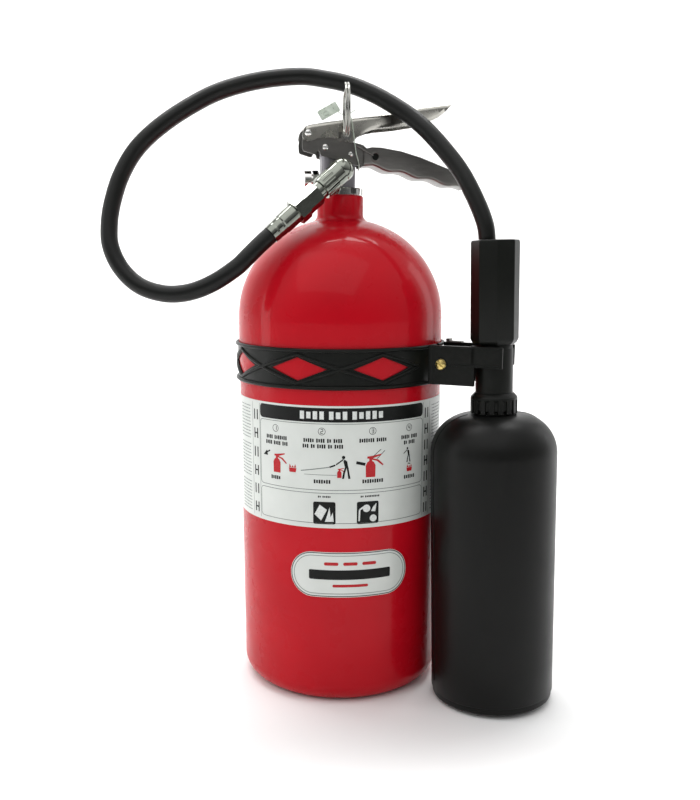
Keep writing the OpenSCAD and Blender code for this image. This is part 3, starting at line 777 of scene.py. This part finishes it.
def lattice(degrees, first, pitch, mid, sign):
    """Height of one strand of the ribs: at the middle between windows, at a rail over them."""
    turn = (degrees - first) / pitch
    wave = math.acos(max(-1, min(1, math.cos(math.pi * turn)))) / math.pi * 2 - 1
    return mid + sign * 11.6 * wave


def prism(outline_xy, low, high):
    """(verts, faces) of a plan outline in mm, from height low to high."""
    count = len(outline_xy)
    verts = [Vector((x, y, z)) for z in (low, high) for x, y in outline_xy]
    faces = [tuple(range(count))[::-1], tuple(range(count, 2 * count))]
    faces += [(i, (i + 1) % count, (i + 1) % count + count, i + count) for i in range(count)]
    return scaled((verts, faces))


def tapered(a, b, c, d, low, high):
    """A four-sided plan outline: from a to d at y = low, and from b to c at y = high."""
    return [(a, low), (b, high), (c, high), (d, low)]


def make_clip():
    """The two clip arms that hold the horn's tube, and the washer under their screw."""
    inside = TUBE_R + 0.9
    outside = inside + 3
    arm_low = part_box("front_clamp_arm")[0].z / MM
    arm_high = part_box("front_clamp_arm")[1].z / MM
    jaw_low, screw_x, screw_z, knee = 289, 101.6, 290.5, 130
    root_in = math.sqrt((CYL_R + 3.3) ** 2 - inside ** 2)
    root_out = math.sqrt((CYL_R + 3.3) ** 2 - outside ** 2)
    curve_end = 62
    root = tapered(root_in, root_out, knee, knee, inside, outside)
    jaw = [(knee - 3, inside), (knee - 3, outside), (HORN_DIST + 11, outside),
           (HORN_DIST + 12, outside - 0.6), (HORN_DIST + 12, inside + 0.6), (HORN_DIST + 11, inside)]
    saddle = arc_points(HORN_DIST, 0, outside, 90, 90 + curve_end, 14)
    saddle += arc_points(HORN_DIST, 0, inside, 90 + curve_end, 90, 14)
    upper = tapered(root_out + 1.5, root_out + 1.5, screw_x - 8, screw_x - 6.5,
                    outside - 0.2, outside + 0.7)
    rib = tapered(screw_x + 6, screw_x + 7, HORN_DIST + 9, HORN_DIST + 10,
                  outside - 0.2, outside + 0.6)
    top = tapered(root_out + 3, root_out + 3, HORN_DIST + 9, HORN_DIST + 9,
                  outside - 0.4, outside + 0.5)
    stop = tapered(HORN_DIST + 8, HORN_DIST + 8, HORN_DIST + 11, HORN_DIST + 11,
                   outside - 0.5, outside + 2)
    front = [(root, arm_low, arm_high), (jaw, jaw_low, arm_high), (saddle, jaw_low, arm_high),
             (upper, arm_low + 1, arm_high - 1), (rib, screw_z - 0.7, screw_z + 0.5),
             (top, arm_high - 1.3, arm_high)]
    rear = front + [(stop, screw_z - 1.5, screw_z + 1.5)]
    for side, name, plans in ((-1, "front", front), (1, "rear", rear)):
        parts = [placed(prism([(x, side * y) for x, y in plan], low, high), CLIP)
                 for plan, low, high in plans]
        arm = join_parts(name + "_clip_arm", parts)
        dressed(bevelled(arm, 0.35 * MM), "root", "black_plastic", replaces=[name + "_clamp_arm"])
    washer = lathe([(2.6, 0), (5.4, 0), (5.5, 0.2), (5.3, 0.45), (2.6, 0.5)], 48, closed=True)
    seat = (CLIP @ Matrix.Translation(Vector((screw_x, -outside, screw_z)) * MM)
            @ Matrix.Rotation(math.pi / 2, 4, "X"))
    dressed(join_parts("screw_washer", [placed(scaled(washer), seat)]), "root", "black_plastic")


make_band()
make_clip()


# ------------------------------ horn, tube and grip

def make_horn():
    """The hollow horn, with a bead round its mouth and two faint parting lines."""
    low, high = -286.5, -40
    radius, shoulder, wall = 52.4, 33, 3
    outer = [(11.2, high), (radius - shoulder - 2, high)]
    outer += arc_points(radius - shoulder, high - shoulder, shoulder, 90, 0, 28)
    outer += [(radius, z) for z in (-110, -150, -200, -250)]
    outer += [(radius, low + 6.5), (radius - 0.3, low + 6), (radius - 0.9, low + 5.6),
              (radius - 1, low + 5)]
    outer += [(radius - 1, low + 1.2), (radius - 1.3, low + 0.5), (radius - 2, low)]
    inner = [(radius - wall - 0.4, low), (radius - wall - 0.6, low + 0.6)]
    inner += arc_points(radius - shoulder, high - shoulder, shoulder - wall, 0, 90, 20)
    inner += [(11.2, high - wall)]
    parts = [scaled(lathe(outer + inner, 192, closed=True))]
    for turn in (0, 180):
        seam = [(radius - shoulder + (shoulder + 0.05) * math.cos(math.radians(a)), 0,
                 high - shoulder + (shoulder + 0.05) * math.sin(math.radians(a)))
                for a in range(84, -1, -6)]
        seam += [(radius + 0.05, 0, z) for z in range(-80, -280, -12)]
        bar = tube_part([Vector(p) * MM for p in seam], 0.35 * MM, 8, up=Vector((0, 1, 0)))
        parts.append(placed(bar, Matrix.Rotation(math.radians(turn + 38), 4, "Z")))
    horn = join_parts("horn_shell", [placed(part, HORN) for part in parts])
    dressed(horn, "horn_unit", "horn_plastic", replaces=["horn"])


def make_tube_and_collar():
    """The tube that the clip holds, and the castellated collar under it."""
    collar_low, collar_high, grip_low = -38.6, -22, 16.7
    tube = [(0, collar_high - 1), (TUBE_R, collar_high - 1), (TUBE_R, grip_low - 3),
            (TUBE_R - 0.6, grip_low - 2.2), (TUBE_R - 0.6, grip_low), (0, grip_low)]
    body = dressed(join_parts("grip_tube", [placed(scaled(lathe(tube, 96)), HORN)]), "horn_unit",
                   "black_plastic", replaces=["horn_tube"])
    bevelled(body, 0.3 * MM)
    radius = 19.25
    collar = [(12, -1.4), (radius - 2.6, -1.4), (radius - 2.6, 1.2), (radius - 1.0, 2.2),
              (radius - 1.0, 10.2), (radius, 11), (radius, 12.6), (radius - 0.8, 13.6),
              (radius - 3.0, 16), (TUBE_R + 0.15, 16.4), (12, 16.4)]
    collar = [(r, collar_low + z) for r, z in collar]
    parts = [scaled(lathe(collar, 96, closed=True))]
    lugs = 16
    for i in range(lugs):
        lug = prism([(radius - 1.6, -2.3), (radius - 0.05, -2.1), (radius - 0.05, 2.1),
                     (radius - 1.6, 2.3)], collar_low - 0.6, collar_low + 11.4)
        parts.append(placed(lug, Matrix.Rotation(math.tau * (i + 0.5) / lugs, 4, "Z")))
    ring = join_parts("coupling_collar", [placed(part, HORN) for part in parts])
    dressed(bevelled(ring, 0.4 * MM), "horn_unit", "black_plastic", replaces=["horn_collar"])


def make_grip():
    """The octagonal grip, with its ends chamfered and a socket that the hose goes into."""
    flat, low, high = 18.2, 16.7, 100.2
    entry, entry_r, depth, sides = (-4.4, -2.2), 8.6, 40, 32
    corner = flat / math.cos(math.radians(22.5))
    levels = [(low, 0.80), (low + 2.2, 0.93), (low + 5.2, 1.0), (high - 1.8, 1.0),
              (high - 0.5, 0.975), (high, 0.94)]
    verts, faces = [], []
    for z, share in levels:
        for i in range(8):
            a = math.radians(22.5 + 45 * i)
            verts.append(Vector((corner * share * math.cos(a), corner * share * math.sin(a), z)))
    faces.append(tuple(range(8))[::-1])
    for k in range(len(levels) - 1):
        for i in range(8):
            j = (i + 1) % 8
            faces.append((k * 8 + i, k * 8 + j, k * 8 + 8 + j, k * 8 + 8 + i))
    top = (len(levels) - 1) * 8
    per_side = sides // 8
    for z, r in ((high, entry_r + 0.8), (high - 0.8, entry_r), (high - depth, entry_r)):
        for i in range(sides):
            a = math.radians(22.5) + math.tau * i / sides
            verts.append(Vector((entry[0] + r * math.cos(a), entry[1] + r * math.sin(a), z)))
    mouth = top + 8
    for i in range(8):
        j = (i + 1) % 8
        ring = [mouth + (i * per_side + k) % sides for k in range(per_side + 1)]
        faces.append((top + i, top + j, *reversed(ring)))
    for k in (0, 1):
        for i in range(sides):
            j = (i + 1) % sides
            a, b = mouth + k * sides, mouth + (k + 1) * sides
            faces.append((a + i, a + j, b + j, b + i))
    faces.append(tuple(range(mouth + 2 * sides, mouth + 3 * sides)))
    grip = join_parts("grip_sleeve", [placed(scaled((verts, faces)), HORN)], sharp=30)
    dressed(bevelled(grip, 0.55 * MM, 3, 30), "horn_unit", "black_plastic", replaces=["horn_grip"])


make_horn()
make_tube_and_collar()
make_grip()


# ------------------------------ lever, handle and bracket

def between(points, x):
    """Height of an outline, given from left to right, at x."""
    for (ax, az), (bx, bz) in zip(points, points[1:]):
        if ax <= x <= bx:
            return az + (bz - az) * (x - ax) / (bx - ax) if bx > ax else bz
    return points[0][1] if x < points[0][0] else points[-1][1]


def channel(rows, half, sheet, corner, web_up):
    """(verts, faces) of a bent sheet channel. Each row is (x, web height, edge height, flare) in mm."""
    sign = 1 if web_up else -1
    verts, size = [], 0
    for x, web, edge, flare in rows:
        def section(inset):
            r = max(corner - inset, 0.3)
            right = [(half + flare - inset, edge), (half + 0.45 * flare - inset, edge + sign * 1.4),
                     (half - inset, edge + sign * 3.2)]
            bend = [(half - corner + r * math.cos(math.radians(a)),
                     web - sign * (corner - r * math.sin(math.radians(a))))
                    for a in (0, 22.5, 45, 67.5, 90)]
            bend = [(y, z) if sign * (z - edge) > 0 else (y, edge) for y, z in bend]
            if sign * (web - edge) < corner + 3.2:
                right = [(half + flare - inset, edge), (half - inset, edge), (half - inset, edge)]
            return right + bend
        outer, inner = section(0), section(sheet)
        loop = outer + [(-y, z) for y, z in reversed(outer)]
        loop += [(-y, z) for y, z in inner] + list(reversed(inner))
        size = len(loop)
        verts += [Vector((x, y, z)) for y, z in loop]
    faces = []
    for i in range(len(rows) - 1):
        for j in range(size):
            k = (j + 1) % size
            faces.append((i * size + j, i * size + k, (i + 1) * size + k, (i + 1) * size + j))
    half_loop = size // 4
    for base in (0, (len(rows) - 1) * size):
        outer = list(range(base, base + 2 * half_loop))
        inner = list(range(base + size - 1, base + 2 * half_loop - 1, -1))
        for j in range(2 * half_loop - 1):
            faces.append((outer[j], outer[j + 1], inner[j + 1], inner[j]))
    return scaled((verts, faces))


def side_plates(outline_xz, low, high, signs=(-1, 1)):
    """(verts, faces) pairs of a side outline, as plates from |y| = low to high."""
    parts = []
    count = len(outline_xz)
    for s in signs:
        verts = [Vector((x, s * y, z)) for y in (low, high) for x, z in outline_xz]
        faces = [tuple(range(count)), tuple(range(count, 2 * count))[::-1]]
        faces += [(i, i + count, (i + 1) % count + count, (i + 1) % count) for i in range(count)]
        parts.append(scaled((verts, faces)))
    return parts


def make_lever():
    """The pressed lever: an open channel with rolled lower edges and a notch over the pin."""
    half, sheet = 14.3, 1.5
    pin_x, notch_r, notch_top = -1.2, 2.7, 478.2
    top = [(-31.3, 482.7), (-27, 484.2), (-15, 486.2), (-2.3, 488.1), (7.8, 489.6),
           (27.8, 492.3), (41.1, 494.6), (67.4, 499.8), (92.4, 503.4)]
    under = [(-31.3, 470.9), (-29, 470.3), (-25, 471.5), (-21.7, 473.3), (-10.7, 474),
             (-2.3, 472.5), (6.5, 469.8), (8.3, 470.5), (10, 472.4), (12.1, 474.8),
             (15.2, 476.9), (18.9, 478.7), (24, 480.6), (31.5, 482.1), (48.7, 484),
             (56.5, 485.4), (66, 487.0), (75, 488.9), (81.1, 491.8), (86.5, 496.0), (92.2, 502.0)]
    xs = sorted({x for x, _ in top + under[:-1]} | set(range(-30, 92, 3)))
    xs = [x for x in xs if abs(x - pin_x) > notch_r + 0.3]
    rows = [(x, between(top, x), between(under, x), 2.2 * max(0, min(1, (x - 12) / 20))) for x in xs]
    left, right = pin_x - notch_r, pin_x + notch_r
    notch = [(left, between(top, left), between(under, left), 0)]
    for a in range(180, -1, -20):
        x = pin_x + notch_r * math.cos(math.radians(a))
        notch.append((x, between(top, x), notch_top + notch_r * math.sin(math.radians(a)), 0))
    notch.append((right, between(top, right), between(under, right), 0))
    before = [r for r in rows if r[0] < pin_x]
    after = [r for r in rows if r[0] > pin_x]
    parts = [channel(before + notch + after, half, sheet, 3.2, True)]
    nose = [(-31.0, 482.2), (-32.6, 480.4), (-33.6, 478), (-34.3, 474.5), (-33, 471.8), (-31.0, 470.9)]
    parts += side_plates(nose, half - sheet, half)
    lever = join_parts("squeeze_lever", parts, sharp=32)
    dressed(bevelled(lever, 0.3 * MM, 2, 50), "lever", "lever_chrome",
            ["operating_lever"])


def grip_low(t):
    """Lower edge of the carrying grip, with its three finger waves, t from 0 to 1."""
    return 26 + 82 * t, 452.4 - 17.2 * t + 1.1 * math.cos(math.tau * 3.2 * t) - 1.1


def make_handle():
    """The carrying handle, the bracket plates that it grows from, the rim of its punched hole, and a
    black disc in the hole that is painted shade.
    """
    half, sheet = 12.5, 1.5
    under = [(17.3, 451.6)] + [grip_low(i / 40) for i in range(41)]
    under += [(110.6, 435.7), (112.0, 436.6), (112.7, 438.6)]
    top = [(17.3, 468.8), (19, 467.4), (20.6, 466.2), (22.4, 466.6), (25, 467.2), (33, 467),
           (50, 464.4), (67.6, 459.6), (90.7, 451.2), (100, 446.2), (108.5, 442.4),
           (110, 441.8), (112, 440.6), (112.7, 439.2)]
    xs = sorted({round(x, 3) for x, _ in under + top if x >= 17.3})
    grip = channel([(x, between(under, x), between(top, x), 0) for x in xs], half, sheet, 2.6, False)
    pivot = (-29.3, 477.1)
    bracket = [(6, 471.6), (4.5, 478), (-20, 480.2)] + arc_points(*pivot, 3.6, 75, 165, 6)
    bracket += [(-34.2, 470), (-34, 464.4), (-33, 463), (-24, 460.4), (-22.4, 461.2), (-21.6, 462.9),
                (-20.4, 463.4), (-19.3, 462.2), (-18.6, 459.6), (14.3, 451.8), (15.0, 453.2),
                (15.8, 453.2), (16.4, 451.4), (18.5, 451.6), (18.5, 467.8), (17.3, 468.8),
                (9, 470.8)]
    parts = [grip] + side_plates(bracket, half - sheet, half)
    crease = [(11.6, 467.9), (14, 466.8), (20, 463.6), (26, 460.6)]
    parts.append(tube_part([Vector((x, -half, z)) * MM for x, z in crease], 0.8 * MM, 8))
    eye = lathe([(2.8, -0.6), (4.1, -0.6), (4.1, 0.2), (3.8, 0.6), (3.2, 0.6), (2.8, 0.2)], 32,
                closed=True)
    seat = Matrix.Translation(Vector((28, -half, 459.5)) * MM) @ Matrix.Rotation(math.pi / 2, 4, "X")
    parts.append(placed(scaled(eye), seat))
    handle = join_parts("carry_handle", parts, sharp=32)
    dressed(bevelled(handle, 0.3 * MM, 2, 50), "root", "steel_plate", replaces=["carrying_handle"])
    # A black disc fills the punched hole: painted shade standing for the dark inside of the hole.
    hole_shade_disc = lathe([(0, -0.6), (2.85, -0.6), (2.85, 0.1), (2.4, 0.12), (0, 0.05)], 32)
    dressed(join_parts("handle_hole_painted_shade", [placed(scaled(hole_shade_disc), seat)]), "root", "black_plastic")


def make_ring():
    """A split ring: two turns of wire side by side, with one step across between them."""
    ring_r, wire, offset = 20.1, 1.0, 1.05
    centre = Vector((-1.2, -36.5, 492.2))
    turn = Matrix.Translation(centre * MM) @ Matrix.Rotation(math.radians(-7), 4, "Z")
    path = []
    for degrees in range(35, 686, 5):
        share = max(0, min(1, (degrees - 330) / 60))
        x = offset * (2 * share * share * (3 - 2 * share) - 1)
        a = math.radians(degrees + 60)
        path.append(turn @ (Vector((x, ring_r * math.cos(a), ring_r * math.sin(a))) * MM))
    ring = mesh_object("split_ring", *tube_part(path, wire * MM, 16, up=Vector((1, 0, 0.1))))
    dressed(ring, "pin", "ring_wire", ["pin_ring"])


def make_seal():
    """The nylon tamper seal: a clear tag, a small ring moulded on it, and its thin strap."""
    tilt = (Matrix.Translation(Vector((-16.5, -8, 488)) * MM) @ Matrix.Rotation(math.radians(6), 4, "Z")
            @ Matrix.Rotation(math.radians(-29), 4, "Y") @ Matrix.Rotation(math.radians(-15), 4, "X"))
    tag = side_plates(rounded(9, 4.25, 18, 8.5, 0.8, 4), 0, 0.8, (1,))[0]
    ring = [Vector((6 + 2.6 * math.cos(math.tau * i / 32), -0.1,
                    3.6 + 1.8 * math.sin(math.tau * i / 32))) * MM for i in range(32)]
    parts = [placed(tag, tilt), placed(tube_part(ring, 0.3 * MM, 8, closed=True), tilt)]
    route = [(-4, -10, 495.4), (-1, -10.5, 493), (3, -12.5, 491.8), (6, -15.5, 490.4), (7, -16.8, 486),
             (8, -16.8, 480), (9.4, -16.4, 470), (11, -15.8, 461), (13, -15.4, 454),
             (13.6, -13.4, 449.8), (13.8, -8, 448.2)]
    parts.append(tube_part(smooth_path([Vector(p) * MM for p in route], 6), 0.45 * MM, 10))
    tail = [(2.4, -12.4, 492.2), (5, -12.8, 493.0), (8, -13.2, 494.8), (11, -13.6, 496.6)]
    parts.append(tube_part(smooth_path([Vector(p) * MM for p in tail], 5), 0.45 * MM, 8))
    dressed(join_parts("nylon_seal", parts), "root", "seal_plastic", replaces=["tamper_seal"])


make_lever()
make_handle()
make_ring()
make_seal()


# ------------------------------ CAD nodes that stay

KEPT = {
    "chrome_plate": ("neck_ring", "relief_plug", "relief_nut", "bracket_rivets",
                     "lever_pivot_rivet", "pull_pin"),
    "coupling_chrome": ("outlet_elbow", "swivel_nut", "hose_adapter", "hose_ferrule"),
    "body_metal": ("valve_body", "siphon_tube", "valve_stem"),
    "steel_plate": ("return_spring", "clamp_tab"),
    "brass_part": ("stem_gland", "burst_disc", "clamp_screw", "clamp_nut", "discharge_orifice"),
    "seal_rubber": ("neck_o_ring", "stem_o_ring", "seat_disc"),
}
for material_name, node_names in KEPT.items():
    for node_name in node_names:
        dress_node(node_name, material_name)


# ------------------------------ floor and light

def plain(name, color, roughness):
    """A matt studio surface with a faint unevenness."""
    n = Nodes(name, color, roughness)
    low = tuple(0.985 * c for c in color)
    return n.color(n.ramp(n.noise(3, 3), [(0.3, color), (0.7, low)])).material


def make_stage():
    """A pale floor that sweeps up into a backdrop."""
    size, sweep, height = 6.0, 1.4, 4.0
    profile = [(-size, 0), (sweep, 0)]
    profile += arc_points(sweep, 1.0, 1.0, -90, 0, 16) + [(sweep + 1.0, height)]
    verts = [Vector((x, y, z)) for x in (-size, size) for y, z in profile]
    count = len(profile)
    faces = [(i, i + 1, i + 1 + count, i + count) for i in range(count - 1)]
    floor = mesh_object("floor_sweep", verts, faces, 60)
    floor.data.materials.append(plain("floor", (0.90, 0.90, 0.897), 0.85))


def area_light(name, place, aim, size, watts):
    """A soft rectangular lamp at a place, turned to face a point."""
    data = bpy.data.lights.new(name, "AREA")
    data.shape = "RECTANGLE"
    data.size, data.size_y = size
    data.energy = watts
    light = bpy.data.objects.new(name, data)
    light.location = place
    light.rotation_euler = (Vector(aim) - Vector(place)).to_track_quat("-Z", "Y").to_euler()
    bpy.context.scene.collection.objects.link(light)


def make_world():
    """A white studio that is open to a darker room on the camera's side."""
    world = bpy.data.worlds.new("studio")
    world.use_nodes = True
    tree = world.node_tree
    where = tree.nodes.new("ShaderNodeTexCoord").outputs["Generated"]
    split = tree.nodes.new("ShaderNodeSeparateXYZ")
    tree.links.new(where, split.inputs["Vector"])
    depth = tree.nodes.new("ShaderNodeMath")
    depth.operation = "MULTIPLY_ADD"
    depth.inputs[1].default_value = 0.62
    tree.links.new(split.outputs["Y"], depth.inputs[0])
    tree.links.new(split.outputs["Z"], depth.inputs[2])
    ramp = tree.nodes.new("ShaderNodeMapRange")
    for key, value in (("From Min", -0.55), ("From Max", 0.45), ("To Min", 0.08), ("To Max", 0.95)):
        ramp.inputs[key].default_value = value
    tree.links.new(depth.outputs[0], ramp.inputs["Value"])
    background = tree.nodes["Background"]
    background.inputs["Strength"].default_value = 0.9
    tree.links.new(ramp.outputs["Result"], background.inputs["Color"])
    bpy.context.scene.world = world
    bpy.context.scene.view_settings.view_transform = "Standard"


def make_lights():
    """One large soft key lamp, a strip on each side, and a lamp for the backdrop."""
    aim = (0, 0, 0.28)
    area_light("key", (-0.8, -1.5, 3.0), aim, (4.0, 3.0), 30)
    area_light("side_left", (-1.9, 0.3, 0.7), aim, (0.5, 1.8), 6)
    area_light("side_right", (1.9, 0.6, 0.7), aim, (0.5, 1.8), 5)
    area_light("backdrop", (0, 0.9, 3.2), (0, 2.4, 0.9), (3.0, 1.0), 110)


make_stage()
make_world()
make_lights()
